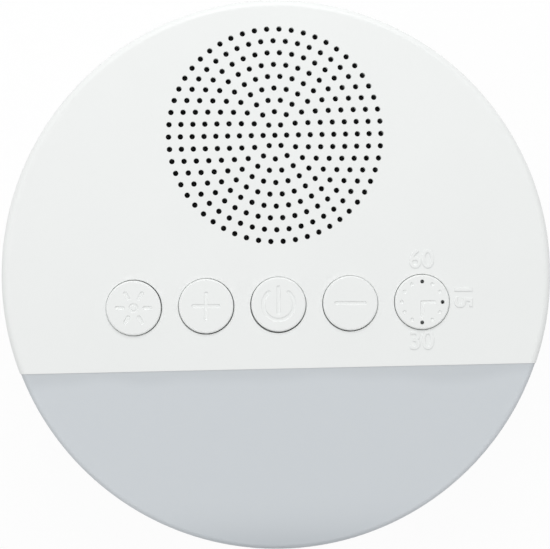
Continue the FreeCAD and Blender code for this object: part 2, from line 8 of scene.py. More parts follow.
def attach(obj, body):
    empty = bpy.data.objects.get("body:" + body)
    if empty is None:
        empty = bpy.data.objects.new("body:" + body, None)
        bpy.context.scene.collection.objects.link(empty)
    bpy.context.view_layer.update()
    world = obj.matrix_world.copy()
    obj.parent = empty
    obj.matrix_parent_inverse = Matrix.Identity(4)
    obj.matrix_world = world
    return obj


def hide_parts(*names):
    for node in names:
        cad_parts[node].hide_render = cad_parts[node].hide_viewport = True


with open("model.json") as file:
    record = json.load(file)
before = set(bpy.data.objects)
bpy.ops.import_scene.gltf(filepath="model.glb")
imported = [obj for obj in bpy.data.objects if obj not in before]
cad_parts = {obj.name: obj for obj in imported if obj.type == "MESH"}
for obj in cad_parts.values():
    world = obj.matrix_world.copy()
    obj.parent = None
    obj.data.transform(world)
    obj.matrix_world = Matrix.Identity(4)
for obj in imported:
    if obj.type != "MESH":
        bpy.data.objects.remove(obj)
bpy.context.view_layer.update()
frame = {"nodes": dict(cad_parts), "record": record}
print("frame loaded")

# Pieces are modelled in millimetres and brought to metres when they are finished
mmPerMetre = 1000
case = {
    "radius": 55.0, "faceHeight": 44.0, "seamHeight": 28.0, "wall": 2.0, "seamChamfer": 0.2,
    "coverRim": 1.4, "windowRim": 1.0, "rimSteps": 10,  # the rounded outer edges
    "windowEdgeY": -18.76, "windowStep": 0.2, "windowDrop": 0.05, "lineGap": 0.01, "lineBevel": 0.05,
    "partGap": 0.15, "segments": 192,
    "cutBelow": 3.0, "cutAbove": 1.0,  # how far cutters reach below and above the face
}


# Node tools for materials
def hexColour(text):  # an sRGB hex value as a linear colour
    channels = [int(text[i:i + 2], 16) / 255 for i in (1, 3, 5)]
    return [c / 12.92 if c <= 0.04045 else ((c + 0.055) / 1.055) ** 2.4 for c in channels] + [1.0]


def addNode(tree, kind, settings=None, **links):
    node = tree.nodes.new(kind)
    for key, value in (settings or {}).items():
        if hasattr(node, str(key)):
            setattr(node, key, value)
        else:
            node.inputs[key].default_value = value
    for key, source in links.items():
        socket = node.inputs[int(key[2:])] if key.startswith("in") and key[2:].isdigit() else node.inputs[key]
        tree.links.new(source, socket)
    return node


def startMaterial(name, colour, roughness, metallic=0.0, ior=None):
    material = bpy.data.materials.new(name)
    material.use_nodes = True
    tree = material.node_tree
    shader = tree.nodes["Principled BSDF"]
    shader.inputs["Base Color"].default_value = hexColour(colour)
    shader.inputs["Roughness"].default_value = roughness
    shader.inputs["Metallic"].default_value = metallic
    if ior:
        shader.inputs["IOR"].default_value = ior
    place = addNode(tree, "ShaderNodeTexCoord").outputs["Object"]
    return material, tree, shader, place


def surfaceGrain(tree, shader, place, look):  # roughens the surface with a grain of a real size
    grain = addNode(
        tree, "ShaderNodeTexNoise", {"Scale": mmPerMetre / look["grainMm"], "Detail": 2.0}, Vector=place,
    )
    bump = addNode(
        tree, "ShaderNodeBump", {"Distance": look["depthMm"] / mmPerMetre}, Height=grain.outputs["Fac"],
    )
    tree.links.new(bump.outputs["Normal"], shader.inputs["Normal"])
    return grain


def scatterInside(shader, look):  # light enters the plastic and softens its edges
    shader.inputs["Subsurface Weight"].default_value = look["scatter"]
    shader.inputs["Subsurface Radius"].default_value = [look["scatterRadius"]] * 3
    shader.inputs["Subsurface Scale"].default_value = look["scatterMm"] / mmPerMetre


# Moulded white ABS: a fine spark-eroded grain gives the case its even, satin look
whiteAbsLook = {
    "colour": "#EEF0EF", "shade": "#EBEDEC", "roughness": 0.42, "ior": 1.54,
    "grainMm": 0.35, "depthMm": 0.004, "scatter": 0.08, "scatterRadius": 0.6, "scatterMm": 1.0,
    "mottleMm": 18.0,
}


def mouldedWhiteAbs():
    material, tree, shader, place = startMaterial(
        "mouldedWhiteAbs", whiteAbsLook["colour"], whiteAbsLook["roughness"], ior=whiteAbsLook["ior"],
    )
    scatterInside(shader, whiteAbsLook)
    surfaceGrain(tree, shader, place, whiteAbsLook)
    mottle = addNode(
        tree, "ShaderNodeTexNoise", {"Scale": mmPerMetre / whiteAbsLook["mottleMm"], "Detail": 3.0},
        Vector=place,
    )
    blend = addNode(
        tree, "ShaderNodeMix",
        {"data_type": "RGBA", 6: hexColour(whiteAbsLook["colour"]), 7: hexColour(whiteAbsLook["shade"])},
        in0=mottle.outputs["Fac"],
    )
    tree.links.new(blend.outputs[2], shader.inputs["Base Color"])
    return material


# Moulded frosted polycarbonate: milky pigment scatters the light; painted shade darkens it along the joint
# and towards the low rim
windowLook = {
    "colour": "#CDD2D6", "shadow": "#C6CBCF", "roughness": 0.5, "ior": 1.58, "grainMm": 0.3, "depthMm": 0.003,
    "scatter": 0.3, "scatterRadius": 1.0, "scatterMm": 1.5,
    "edgeMm": -19.4, "fadeMm": 3.0, "waveMm": 3.4, "waveLengthMm": 22.0,  # the wavy band of painted shadow along the joint
    "lowStartMm": -43.0, "lowEndMm": -55.5, "lowPower": 2.4, "lowShade": "#B4BABF",  # painted shade towards the low rim
}


def frostedPolycarbonate():
    material, tree, shader, place = startMaterial(
        "frostedPolycarbonate", windowLook["colour"], windowLook["roughness"], ior=windowLook["ior"],
    )
    scatterInside(shader, windowLook)
    surfaceGrain(tree, shader, place, windowLook)
    axes = addNode(tree, "ShaderNodeSeparateXYZ", Vector=place)
    # Painted shadow: Y is shifted by a noise along X, and a wavy band just below the joint is mixed towards
    # the shadow colour
    along = addNode(tree, "ShaderNodeCombineXYZ", X=axes.outputs["X"])
    wave = addNode(
        tree, "ShaderNodeTexNoise", {"Scale": mmPerMetre / windowLook["waveLengthMm"], "Detail": 1.0},
        Vector=along.outputs["Vector"],
    )
    waveReach = windowLook["waveMm"] / mmPerMetre
    reach = addNode(
        tree, "ShaderNodeMapRange", {"To Min": -waveReach, "To Max": waveReach}, Value=wave.outputs["Fac"],
    )
    wavyY = addNode(
        tree, "ShaderNodeMath", {"operation": "ADD"}, in0=axes.outputs["Y"], in1=reach.outputs["Result"],
    )
    shadow = addNode(tree, "ShaderNodeMapRange", {
        "interpolation_type": "SMOOTHSTEP",
        "From Min": (windowLook["edgeMm"] - windowLook["fadeMm"]) / mmPerMetre,
        "From Max": windowLook["edgeMm"] / mmPerMetre,
    }, Value=wavyY.outputs[0])
    upper = addNode(
        tree, "ShaderNodeMix",
        {"data_type": "RGBA", 6: hexColour(windowLook["colour"]), 7: hexColour(windowLook["shadow"])},
        in0=shadow.outputs["Result"],
    )
    # Painted shade: the colour darkens towards the low rim, where the lamps' light falls off
    low = addNode(tree, "ShaderNodeMapRange", {
        "From Min": windowLook["lowStartMm"] / mmPerMetre, "From Max": windowLook["lowEndMm"] / mmPerMetre,
    }, Value=axes.outputs["Y"])
    fall = addNode(
        tree, "ShaderNodeMath", {"operation": "POWER", 1: windowLook["lowPower"]}, in0=low.outputs["Result"],
    )
    lower = addNode(
        tree, "ShaderNodeMix", {"data_type": "RGBA", 7: hexColour(windowLook["lowShade"])},
        in0=fall.outputs[0], in6=upper.outputs[2],
    )
    tree.links.new(lower.outputs[2], shader.inputs["Base Color"])
    return material


# Plain finishes of the inner pieces, feet and metal, and what each gives the eye
finishes = {
    "grey_rubber": {  # dull and soft
        "name": "mouldedSiliconeRubber", "colour": "#8A8C8E",
        "roughness": 0.8, "grainMm": 0.4, "depthMm": 0.01,
    },
    "black_cloth": {  # deep black, no shine
        "name": "wovenSpeakerCloth", "colour": "#1C1C1D",
        "roughness": 0.95, "grainMm": 0.3, "depthMm": 0.03,
    },
    "black_foam": {  # open and matt
        "name": "dieCutFoam", "colour": "#202022",
        "roughness": 0.95, "grainMm": 0.5, "depthMm": 0.05,
    },
    "black_steel": {  # smooth, semi-gloss
        "name": "lacqueredSteel", "colour": "#1B1B1C",
        "roughness": 0.35, "grainMm": 0.6, "depthMm": 0.003,
    },
    "zinc_steel": {  # cool, slightly blurred shine
        "name": "zincPlatedSteel", "colour": "#B9BCC0",
        "roughness": 0.32, "metallic": 1.0, "grainMm": 0.2, "depthMm": 0.003,
    },
    "nickel_steel": {  # warm, brighter shine
        "name": "nickelPlatedSteel", "colour": "#C4C0B8",
        "roughness": 0.25, "metallic": 1.0, "grainMm": 0.2, "depthMm": 0.002,
    },
    "ferrite": {  # dark and chalky
        "name": "sinteredFerrite", "colour": "#3A3A3C",
        "roughness": 0.7, "grainMm": 0.2, "depthMm": 0.01,
    },
    "copper": {  # orange, glossy varnish
        "name": "enamelledCopper", "colour": "#B8663A",
        "roughness": 0.3, "metallic": 1.0, "grainMm": 0.2, "depthMm": 0.02,
    },
    "paper": {  # fibrous and matt
        "name": "pressedPaperPulp", "colour": "#262627",
        "roughness": 0.9, "grainMm": 0.5, "depthMm": 0.03,
    },
    "black_rubber": {  # matt black
        "name": "mouldedBlackRubber", "colour": "#1A1A1A",
        "roughness": 0.75, "grainMm": 0.4, "depthMm": 0.01,
    },
    "phenolic": {  # brown, waxy sheen
        "name": "phenolicBoard", "colour": "#8A5A32",
        "roughness": 0.6, "grainMm": 0.5, "depthMm": 0.01,
    },
    "green_board": {  # glossy green film
        "name": "maskedGlassEpoxy", "colour": "#1E5A36",
        "roughness": 0.35, "grainMm": 0.8, "depthMm": 0.01,
    },
    "white_board": {  # off-white film
        "name": "whiteGlassEpoxy", "colour": "#E8E8E4",
        "roughness": 0.4, "grainMm": 0.8, "depthMm": 0.01,
    },
    "black_epoxy": {  # matt black block
        "name": "mouldedBlackEpoxy", "colour": "#1D1D1E",
        "roughness": 0.55, "grainMm": 0.2, "depthMm": 0.008,
    },
    "black_nylon": {  # even dark grey
        "name": "mouldedBlackNylon", "colour": "#202021",
        "roughness": 0.55, "grainMm": 0.3, "depthMm": 0.008,
    },
    "capacitor_can": {  # glossy dark blue sleeve
        "name": "sleevedAluminium", "colour": "#26355A",
        "roughness": 0.3, "grainMm": 0.6, "depthMm": 0.004,
    },
    "lamp_epoxy": {  # yellow drop
        "name": "phosphorEpoxy", "colour": "#E6D890",
        "roughness": 0.3, "grainMm": 0.2, "depthMm": 0.004,
    },
    "clear_acrylic": {  # pale and glossy
        "name": "mouldedAcrylic", "colour": "#E4EAEA",
        "roughness": 0.15, "grainMm": 0.5, "depthMm": 0.002,
    },
    "cell_can": {  # tight blue film
        "name": "shrinkSleevedCell", "colour": "#2B6FB3",
        "roughness": 0.35, "grainMm": 1.2, "depthMm": 0.01,
    },
    "lead_jacket": {  # soft dark sheath
        "name": "softPvcJacket", "colour": "#2A2A2B",
        "roughness": 0.6, "grainMm": 0.3, "depthMm": 0.006,
    },
}
finishSpread = 0.1  # share by which the roughness changes along the grain


def plainFinish(look):  # one even colour, with its grain and a faint change of sheen
    material, tree, shader, place = startMaterial(
        look["name"], look["colour"], look["roughness"], look.get("metallic", 0.0),
    )
    grain = surfaceGrain(tree, shader, place, look)
    least, most = look["roughness"] * (1 - finishSpread), look["roughness"] * (1 + finishSpread)
    sheen = addNode(tree, "ShaderNodeMapRange", {"To Min": least, "To Max": most}, Value=grain.outputs["Fac"])
    tree.links.new(sheen.outputs["Result"], shader.inputs["Roughness"])
    return material


materials = {"white_abs": mouldedWhiteAbs(), "frosted_window": frostedPolycarbonate()}
for slotName, look in finishes.items():
    materials[slotName] = plainFinish(look)
slotOfNode = {part["node"]: part["material_slot"] for part in frame["record"]["subparts"]}
for nodeName, node in frame["nodes"].items():
    node.data.materials.clear()
    node.data.materials.append(materials[slotOfNode[nodeName]])
print("materials made:", len(materials))


# Small tools for meshes
meshTools = {"mergeGap": 0.0005, "cutGap": 0.0001, "near": 0.01, "roundSteps": 6, "sharpDegrees": 32}


def spun(points, segments, at=(0.0, 0.0)):  # turns an outline of (radius, height) about the upright axis
    bm = bmesh.new()
    verts = [bm.verts.new((r, 0, z)) for r, z in points + points[:1]]
    for a, b in zip(verts, verts[1:]):
        bm.edges.new((a, b))
    bmesh.ops.spin(
        bm, geom=bm.verts[:] + bm.edges[:], axis=(0, 0, 1), cent=(0, 0, 0), angle=math.tau,
        steps=segments, use_merge=True,
    )
    bmesh.ops.remove_doubles(bm, verts=bm.verts, dist=meshTools["mergeGap"])
    bmesh.ops.recalc_face_normals(bm, faces=bm.faces)
    bmesh.ops.translate(bm, vec=(at[0], at[1], 0), verts=bm.verts)
    return bm


def ringEdges(bm, radius, height):  # the edges of one circle about the upright axis
    near = meshTools["near"]
    return [
        e for e in bm.edges
        if all(abs(v.co.z - height) < near and abs(v.co.xy.length - radius) < near for v in e.verts)
    ]


def roundEdges(bm, edges, size, segments=meshTools["roundSteps"]):
    bmesh.ops.bevel(
        bm, geom=edges, offset=size, offset_type="OFFSET", segments=segments, profile=0.5,
        affect="EDGES", material=-1, clamp_overlap=True,
    )


def cutAway(bm, point, normal):  # removes what lies on the normal's side and closes the cut
    cut = bmesh.ops.bisect_plane(
        bm, geom=bm.verts[:] + bm.edges[:] + bm.faces[:], dist=meshTools["cutGap"], plane_co=point,
        plane_no=normal, clear_outer=True,
    )
    rim = [e for e in cut["geom_cut"] if isinstance(e, bmesh.types.BMEdge)]
    bmesh.ops.holes_fill(bm, edges=rim, sides=0)


def cylinderInto(bm, radius, low, high, x, y, segments):
    bmesh.ops.create_cone(
        bm, cap_ends=True, segments=segments, radius1=radius, radius2=radius, depth=high - low,
        matrix=Matrix.Translation((x, y, (low + high) / 2)),
    )


def joinInto(whole, part):  # adds one mesh in the making to another
    mesh = bpy.data.meshes.new("part")
    part.to_mesh(mesh)
    part.free()
    whole.from_mesh(mesh)
    bpy.data.meshes.remove(mesh)


def loosePiece(name, bm):  # a mesh object in millimetres that isn't finished yet
    mesh = bpy.data.meshes.new(name)
    bm.to_mesh(mesh)
    bm.free()
    obj = bpy.data.objects.new(name, mesh)
    bpy.context.scene.collection.objects.link(obj)
    return obj


def carve(obj, cutter, operation="DIFFERENCE", selfUnion=False):  # applies a Boolean and deletes the cutter
    boolean = obj.modifiers.new("carve", "BOOLEAN")
    boolean.operation = operation
    boolean.solver = "EXACT"
    boolean.use_self = selfUnion
    boolean.object = cutter
    bpy.context.view_layer.update()
    result = bpy.data.meshes.new_from_object(obj.evaluated_get(bpy.context.evaluated_depsgraph_get()))
    obj.modifiers.clear()
    obj.data = result
    bpy.data.objects.remove(cutter)


def finishPiece(obj, body, slotName, replaced=(), sharpDegrees=meshTools["sharpDegrees"]):
    obj.data.transform(Matrix.Scale(1 / mmPerMetre, 4))
    obj.data.materials.clear()
    obj.data.materials.append(materials[slotName])
    obj.data.shade_smooth()
    obj.data.set_sharp_from_angle(angle=math.radians(sharpDegrees))
    even = obj.modifiers.new("evenShading", "WEIGHTED_NORMAL")  # keeps the large flat faces flat
    even.weight = 100
    even.keep_sharp = True
    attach(obj, body)
    for node in replaced:
        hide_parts(node)
    print("made", obj.name, len(obj.data.polygons), "faces")


# Front cover and window: two parts of one round shell, with rounded outer edges
def shellPart(name, radius, top, rim, edgeY, isCover):
    low, wall, chamfer = case["seamHeight"], case["wall"], case["seamChamfer"]
    outline = [(radius - wall, low), (radius - chamfer, low), (radius, low + chamfer)]
    for i in range(case["rimSteps"] + 1):  # a quarter of a circle from the side to the face
        turn = math.pi / 2 * i / case["rimSteps"]
        outline.append((radius - rim * (1 - math.cos(turn)), top - rim * (1 - math.sin(turn))))
    under = top - wall
    outline += [(0, top), (0, under), (radius - rim - wall / 2, under), (radius - wall, under - rim)]
    bm = spun(outline, case["segments"])
    cutAway(bm, (0, edgeY, 0), (0, -1 if isCover else 1, 0))
    if isCover:  # the joint's edge on the face is eased
        near = meshTools["near"] / 10
        line = [
            e for e in bm.edges
            if all(abs(v.co.y - edgeY) < near and v.co.z > top - rim - near for v in e.verts)
        ]
        roundEdges(bm, line, case["lineBevel"], 1)
    return loosePiece(name, bm)


grille = {"rings": 9, "holesPerRing": 6, "pitch": 2.36, "radius": 0.56, "centreY": 27.9, "sides": 16}
buttons = {
    "names": ["light", "volume_up", "power", "volume_down", "timer"], "pitch": 14.4, "rowY": -6.0,
    "middleRadius": 5.525, "proud": 0.6, "edge": 0.35, "segments": 72, "sharpDegrees": 40,
    "openingEase": 0.2, "easeCurve": 0.3,  # the eased rim of an opening, and its middle point's share
    "thickness": 1.4, "wall": 0.75, "flange": 0.75, "flangeTop": 2.1, "flangeBottom": 3.0,
    # Each cap's place in its opening, x and y, and the gap round it
    "play": [
        (-0.09, -0.02, 0.1), (-0.055, 0.075, 0.12), (0.02, 0.12, 0.14), (0.012, 0.08, 0.1), (0.0, 0.0, 0.085),
    ],
}
buttonXs = [(i - 2) * buttons["pitch"] for i in range(5)]


def grilleDrill():
    bm = bmesh.new()
    low, high = case["faceHeight"] - case["cutBelow"], case["faceHeight"] + case["cutAbove"]
    for ringNumber in range(grille["rings"] + 1):
        count = max(1, grille["holesPerRing"] * ringNumber)
        for i in range(count):
            turn = math.tau * i / count
            x = ringNumber * grille["pitch"] * math.cos(turn)
            y = grille["centreY"] + ringNumber * grille["pitch"] * math.sin(turn)
            cylinderInto(bm, grille["radius"], low, high, x, y, grille["sides"])
    return loosePiece("drill", bm)


def openingCutter():  # button openings, their top edges eased
    bm = bmesh.new()
    ease, top = buttons["openingEase"], case["faceHeight"]
    curve, low, high = ease * buttons["easeCurve"], top - case["cutBelow"], top + case["cutAbove"]
    for x, play in zip(buttonXs, buttons["play"]):
        radius = buttons["middleRadius"] + play[2] / 2
        part = spun([
            (0, low), (radius, low), (radius, top - ease), (radius + curve, top - curve),
            (radius + ease, top), (radius + ease, high), (0, high),
        ], buttons["segments"], at=(x, buttons["rowY"]))
        joinInto(bm, part)
    return loosePiece("opening", bm)


cover = shellPart(
    "coverShell", case["radius"], case["faceHeight"], case["coverRim"], case["windowEdgeY"], isCover=True,
)
carve(cover, grilleDrill())
carve(cover, openingCutter())
finishPiece(cover, "case", "white_abs", ["front_cover"])

window = shellPart(
    "nightLightWindow", case["radius"] - case["windowStep"], case["faceHeight"] - case["windowDrop"],
    case["windowRim"], case["windowEdgeY"] - case["lineGap"], isCover=False,
)
finishPiece(window, "case", "frosted_window", ["light_window"])

# Rear housing: a tapered cup with a rounded base, screw wells and the charging socket's pocket
housing = {
    "baseZ": 1.5, "baseRadius": 52.5, "baseRound": 3.0, "baseThickness": 2.4, "wall": 2.2, "seamEase": 0.4,
    "wells": [(45.0, -8.0), (-45.0, -8.0), (36.5, 29.5), (-36.5, 29.5)], "wellRadius": 2.7, "wellTop": 22.0,
    "columnRadius": 4.0, "columnLift": 1.0, "wellSides": 32, "roundSteps": 8,
    "footDegrees": [55, 125, 235, 305], "footReach": 42.0, "footRadius": 5.5, "footRecess": 0.8,
    "footSides": 48,
    "socketZ": 10.0, "slot": (9.34, 3.66), "slotDepth": 6.0, "pocket": (13.0, 7.5, 0.8),
    "clearBase": 1.0, "clearSide": 2.0,  # how far cutters stand out of the base and the side
}
footPlaces = [
    (housing["footReach"] * math.cos(math.radians(a)), housing["footReach"] * math.sin(math.radians(a)))
    for a in housing["footDegrees"]
]


def slotCutter(width, height, yLow, yHigh, z):  # a bar along Y with half-round ends
    bm = bmesh.new()
    bmesh.ops.create_cube(bm, size=1)
    bmesh.ops.scale(bm, vec=(width, yHigh - yLow, height), verts=bm.verts)
    near = meshTools["near"]
    lengthwise = [e for e in bm.edges if abs(e.verts[0].co.y - e.verts[1].co.y) > near]
    roundEdges(bm, lengthwise, height / 2 - near, housing["roundSteps"])
    bmesh.ops.translate(bm, vec=(0, (yLow + yHigh) / 2, z), verts=bm.verts)
    return loosePiece("slot", bm)


def rearHousing():
    base, seam, wall = housing["baseZ"], case["seamHeight"], housing["wall"]
    radius, floorZ = housing["baseRadius"], housing["baseZ"] + housing["baseThickness"]
    inside, outside, ease = radius - wall, case["radius"], housing["seamEase"]
    bm = spun([
        (0, base), (radius, base), (outside, seam - ease), (outside - ease, seam),
        (inside, seam), (inside, floorZ), (0, floorZ),
    ], case["segments"])
    roundEdges(bm, ringEdges(bm, radius, base), housing["baseRound"], housing["roundSteps"])
    cup = loosePiece("rearHousing", bm)
    columns, wells = bmesh.new(), bmesh.new()
    below, sides = base - housing["clearBase"], housing["wellSides"]
    for x, y in housing["wells"]:
        cylinderInto(columns, housing["columnRadius"], base + housing["columnLift"], seam, x, y, sides)
        cylinderInto(wells, housing["wellRadius"], below, housing["wellTop"], x, y, sides)
    for x, y in footPlaces:
        recessRadius = housing["footRadius"] + case["partGap"]
        cylinderInto(wells, recessRadius, below, base + housing["footRecess"], x, y, housing["footSides"])
    carve(cup, loosePiece("columns", columns), "UNION")
    carve(cup, loosePiece("wells", wells))
    wallY = radius + (case["radius"] - radius) * (housing["socketZ"] - base) / (seam - base)
    beyond = wallY + housing["clearSide"]
    width, height = housing["slot"]
    carve(cup, slotCutter(width, height, wallY - housing["slotDepth"], beyond, housing["socketZ"]))
    width, height, depth = housing["pocket"]
    carve(cup, slotCutter(width, height, wallY - depth, beyond, housing["socketZ"]))
    finishPiece(cup, "case", "white_abs", ["rear_housing"])


rearHousing()

# Case screws in the wells: pan heads with a cross recess, seen from below
screw = {
    "headRadius": 2.4, "headHeight": 1.8, "crown": 0.6, "crownCurve": [(1.2, 0.08), (2.0, 0.3)],
    "shankRadius": 1.25, "shankLength": 14.0, "segments": 40,
    "recessLength": 2.6, "recessWidth": 0.6, "recessDepth": 1.0,
}


def caseScrews():
    seat, under = housing["wellTop"], housing["wellTop"] - screw["headHeight"]
    tip, shank, head = seat + screw["shankLength"], screw["shankRadius"], screw["headRadius"]
    crown = [(radius, under + rise) for radius, rise in screw["crownCurve"]]
    outline = [(0, under)] + crown + [
        (head, under + screw["crown"]), (head, seat), (shank, seat), (shank, tip), (0, tip),
    ]
    whole = bmesh.new()
    for place in housing["wells"]:
        joinInto(whole, spun(outline, screw["segments"], at=place))
    screws = loosePiece("caseScrews", whole)
    arms = bmesh.new()
    long, short = screw["recessLength"], screw["recessWidth"]
    for x, y in housing["wells"]:
        for width, depth in ((long, short), (short, long)):
            arm = bmesh.ops.create_cube(arms, size=1)["verts"]
            bmesh.ops.scale(arms, vec=(width, depth, 2 * screw["recessDepth"]), verts=arm)
            bmesh.ops.translate(arms, vec=(x, y, under), verts=arm)
    carve(screws, loosePiece("crossRecess", arms), selfUnion=True)
    finishPiece(screws, "case", "zinc_steel", ["case_screws"])


caseScrews()

# Speaker surround: the half roll stays with the basket and its inner land moves with the cone
surround = {
    "low": 40.2, "inner": 18.5, "halfRoll": 0.6, "sheet": 0.3, "outerLand": 1.3, "innerLand": 0.65,
    "slit": 0.05, "steps": 10, "segments": 96, "sharpDegrees": 50,
}


def speakerSurround():
    low, high = surround["low"], surround["low"] + surround["sheet"]
    middle, rise = surround["inner"] + surround["halfRoll"], surround["halfRoll"] + surround["sheet"]
    half = surround["halfRoll"] - surround["slit"]
    outer = middle + surround["halfRoll"] + surround["outerLand"]
    inside, insideRise = half - surround["sheet"], rise - surround["sheet"]
    over, under = [], []
    for i in range(surround["steps"] + 1):
        turn = math.pi * (1 - i / surround["steps"])
        over.append((middle + half * math.cos(turn), low + rise * math.sin(turn)))
        under.append((middle - inside * math.cos(turn), low + insideRise * math.sin(turn)))
    # The roll's outer foot ends where it meets the top of the land
    over = [point for i, point in enumerate(over) if point[1] > high or i < surround["steps"] / 2]
    place = (0.0, grille["centreY"])
    roll = spun(over + [(outer, high), (outer, low)] + under, surround["segments"], at=place)
    finishPiece(
        loosePiece("surroundRoll", roll), "case", "black_rubber", ["speaker_surround"],
        surround["sharpDegrees"],
    )
    inner = surround["inner"] - surround["innerLand"]
    land = spun(
        [(inner, low), (surround["inner"], low), (surround["inner"], high), (inner, high)],
        surround["segments"], at=place,
    )
    finishPiece(loosePiece("surroundLand", land), "cone_assembly", "black_rubber")


speakerSurround()

# Signs cut into the buttons: grooves with steep walls and a flat floor
signs = {
    "grooveRadius": 0.41, "grooveDepth": 0.19, "squareness": 2.2, "turnDegrees": -1.15,
    "lineSides": 20, "dotRings": 12, "ringSides": 16, "ringSteps": 48,
    "plusLength": 5.8, "minusLength": 6.5,
    "sunRing": 0.72, "sunGroove": 0.25, "rays": 6, "rayStart": 1.75, "rayEnd": 3.75,
    "powerRing": 3.1, "powerGapDegrees": 40, "powerTop": 3.8, "powerBottom": -2.1,
    "dialRing": 4.1, "dialMarks": 12, "dimpleRadius": 0.4,
    "lampMarks": (0, 3, 9), "lampHoleRadius": 0.4, "lampHoleReach": 5.0, "lampHoleSides": 20,
    "handRight": 2.8, "handDown": 3.2, "handRadius": 0.36,
}


def grooveLine(bm, x1, y1, x2, y2, z, radius):
    start, end = Vector((x1, y1, z)), Vector((x2, y2, z))
    along = end - start
    turn = along.to_track_quat("Z", "Y").to_matrix().to_4x4()
    bmesh.ops.create_cone(
        bm, cap_ends=True, segments=signs["lineSides"], radius1=radius, radius2=radius, depth=along.length,
        matrix=Matrix.Translation((start + end) / 2) @ turn,
    )
    for point in (start, end):
        grooveDot(bm, point.x, point.y, z, radius)


def grooveDot(bm, x, y, z, radius):
    bmesh.ops.create_uvsphere(
        bm, u_segments=signs["lineSides"], v_segments=signs["dotRings"], radius=radius,
        matrix=Matrix.Translation((x, y, z)),
    )


def grooveRing(bm, x, y, z, ringRadius, radius, gapDegrees=0.0):  # a full ring, or one open at the top
    part = bmesh.new()
    gap = math.radians(gapDegrees)
    section = bmesh.ops.create_circle(
        part, cap_ends=gapDegrees > 0, segments=signs["ringSides"], radius=radius,
    )["verts"]
    bmesh.ops.rotate(part, cent=(0, 0, 0), matrix=Matrix.Rotation(math.pi / 2, 3, "X"), verts=section)
    bmesh.ops.translate(part, vec=(ringRadius, 0, 0), verts=section)
    bmesh.ops.rotate(part, cent=(0, 0, 0), matrix=Matrix.Rotation(math.pi / 2 + gap, 3, "Z"), verts=section)
    bmesh.ops.spin(
        part, geom=part.verts[:] + part.edges[:] + part.faces[:], axis=(0, 0, 1), cent=(0, 0, 0),
        angle=math.tau - 2 * gap, steps=signs["ringSteps"], use_merge=gapDegrees == 0,
    )
    bmesh.ops.remove_doubles(part, verts=part.verts, dist=meshTools["mergeGap"])
    bmesh.ops.recalc_face_normals(part, faces=part.faces)
    bmesh.ops.translate(part, vec=(x, y, z), verts=part.verts)
    joinInto(bm, part)
    if gap:
        for side in (-1, 1):
            turn = math.pi / 2 + side * gap
            grooveDot(bm, x + ringRadius * math.cos(turn), y + ringRadius * math.sin(turn), z, radius)


def signCutter(name, x, y, top):  # the sign is drawn at height 0, flattened, turned and lifted to the cap
    bm = bmesh.new()
    radius = signs["grooveRadius"]
    z = 0.0
    if name == "light":
        grooveRing(bm, x, y, z, signs["sunRing"], signs["sunGroove"])
        near, far = signs["rayStart"] + radius, signs["rayEnd"] - radius
        for i in range(signs["rays"]):
            c, s = math.cos(math.tau * i / signs["rays"]), math.sin(math.tau * i / signs["rays"])
            grooveLine(bm, x + near * c, y + near * s, x + far * c, y + far * s, z, radius)
    if name == "volume_up":
        half = signs["plusLength"] / 2
        grooveLine(bm, x - half + radius, y, x + half - radius, y, z, radius)
        grooveLine(bm, x, y - half + radius, x, y + half - radius, z, radius)
    if name == "volume_down":
        half = signs["minusLength"] / 2
        grooveLine(bm, x - half + radius, y, x + half - radius, y, z, radius)
    if name == "power":
        grooveRing(bm, x, y, z, signs["powerRing"], radius, signs["powerGapDegrees"])
        grooveLine(bm, x, y + signs["powerTop"] - radius, x, y + signs["powerBottom"] + radius, z, radius)
    if name == "timer":
        hand = signs["handRadius"]
        grooveLine(bm, x, y, x + signs["handRight"] - hand, y, z, hand)
        grooveLine(bm, x, y, x, y - signs["handDown"] + hand, z, hand)
        reach = signs["lampHoleReach"]
        for i in range(signs["dialMarks"]):
            px = x + signs["dialRing"] * math.cos(math.tau * i / signs["dialMarks"])
            py = y + signs["dialRing"] * math.sin(math.tau * i / signs["dialMarks"])
            if i in signs["lampMarks"]:
                cylinderInto(bm, signs["lampHoleRadius"], -reach, reach, px, py, signs["lampHoleSides"])
            else:
                grooveDot(bm, px, py, z, signs["dimpleRadius"])
    for vert in bm.verts:  # steepens the walls and flattens the floor of the round section
        if abs(vert.co.z) < 2 * radius:  # the lamp holes stay deep
            depth = min(abs(vert.co.z) / radius, 1)
            depth = signs["grooveDepth"] * (1 - (1 - depth) ** signs["squareness"])
            vert.co.z = math.copysign(depth, vert.co.z)
    turn = Matrix.Rotation(math.radians(signs["turnDegrees"]), 3, "Z")
    bmesh.ops.rotate(bm, cent=(x, y, 0), matrix=turn, verts=bm.verts)
    bmesh.ops.translate(bm, vec=(0, 0, top), verts=bm.verts)
    return loosePiece("sign", bm)


def pushButton(name, x, looseX, looseY, gap):  # a hollow cap with a flange under the cover, and its sign
    x, y, radius = x + looseX, buttons["rowY"] + looseY, buttons["middleRadius"] - gap / 2
    inside, outside = radius - buttons["wall"], radius + buttons["flange"]
    top = case["faceHeight"] + buttons["proud"]
    ceiling, flangeTop = top - buttons["thickness"], case["faceHeight"] - buttons["flangeTop"]
    flangeBottom = case["faceHeight"] - buttons["flangeBottom"]
    bm = spun([
        (0, ceiling), (inside, ceiling), (inside, flangeBottom), (outside, flangeBottom),
        (outside, flangeTop), (radius, flangeTop), (radius, top), (0, top),
    ], buttons["segments"])
    roundEdges(bm, ringEdges(bm, radius, top), buttons["edge"])
    bmesh.ops.translate(bm, vec=(x, y, 0), verts=bm.verts)
    cap = loosePiece(name + "Cap", bm)
    carve(cap, signCutter(name, x, y, top), selfUnion=True)
    finishPiece(cap, name + "_key", "white_abs", [name + "_button"], buttons["sharpDegrees"])


for name, x, play in zip(buttons["names"], buttonXs, buttons["play"]):
    pushButton(name, x, *play)

